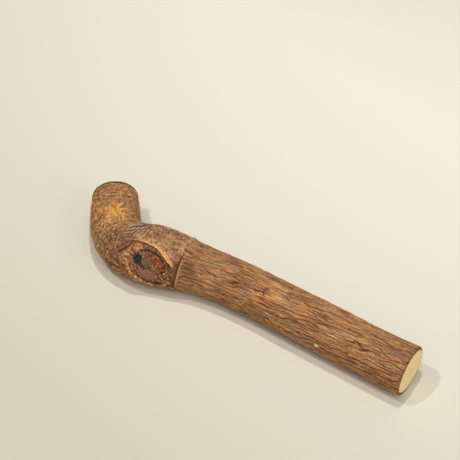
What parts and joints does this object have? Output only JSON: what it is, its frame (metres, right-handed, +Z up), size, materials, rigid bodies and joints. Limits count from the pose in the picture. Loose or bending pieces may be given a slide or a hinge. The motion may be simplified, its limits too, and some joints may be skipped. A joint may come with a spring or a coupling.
{
  "type": "crooked branch offcut",
  "caption": "Crooked length of bark-covered branch, sawn square at both ends, with a burl and a half-healed knot wound at its elbow.",
  "frame": {"origin": "centre of the sawn face at the handle end", "axes": "+X out of the sawn handle end along the handle, +Z up as the branch lies at rest, the knot wound towards -Y"},
  "size_m": [0.3143, 0.0779, 0.0488],
  "materials": {
    "sapwood": "sawn, matt",
    "pith": "soft, matt",
    "inner_bark": "fibrous, matt",
    "handle_bark": "fissured bark, matt",
    "burl_bark": "scaly bark, matt",
    "head_bark": "warty bark, matt",
    "knot_wood": "weathered end grain",
    "stub_bark": "dark, dry",
    "punk_wood": "crumbly rot",
    "callus_lip": "fibrous, slightly satin",
    "wound_crust": "crumbly, matt",
    "crack_ridge": "fibrous, matt",
    "bark_flakes": "scaly bark, matt"
  },
  "bodies": {
    "root": {"sapwood": "sapwood", "pith": "pith", "inner_bark": "inner_bark", "handle_bark": "handle_bark", "burl_bark": "burl_bark", "head_bark": "head_bark", "knot_wood": "knot_wood", "stub_bark": "stub_bark", "punk_wood": "punk_wood", "callus_lip": "callus_lip", "wound_crust": "wound_crust", "crack_ridge": "crack_ridge", "bark_flakes": "bark_flakes"}
  },
  "joints": []
}
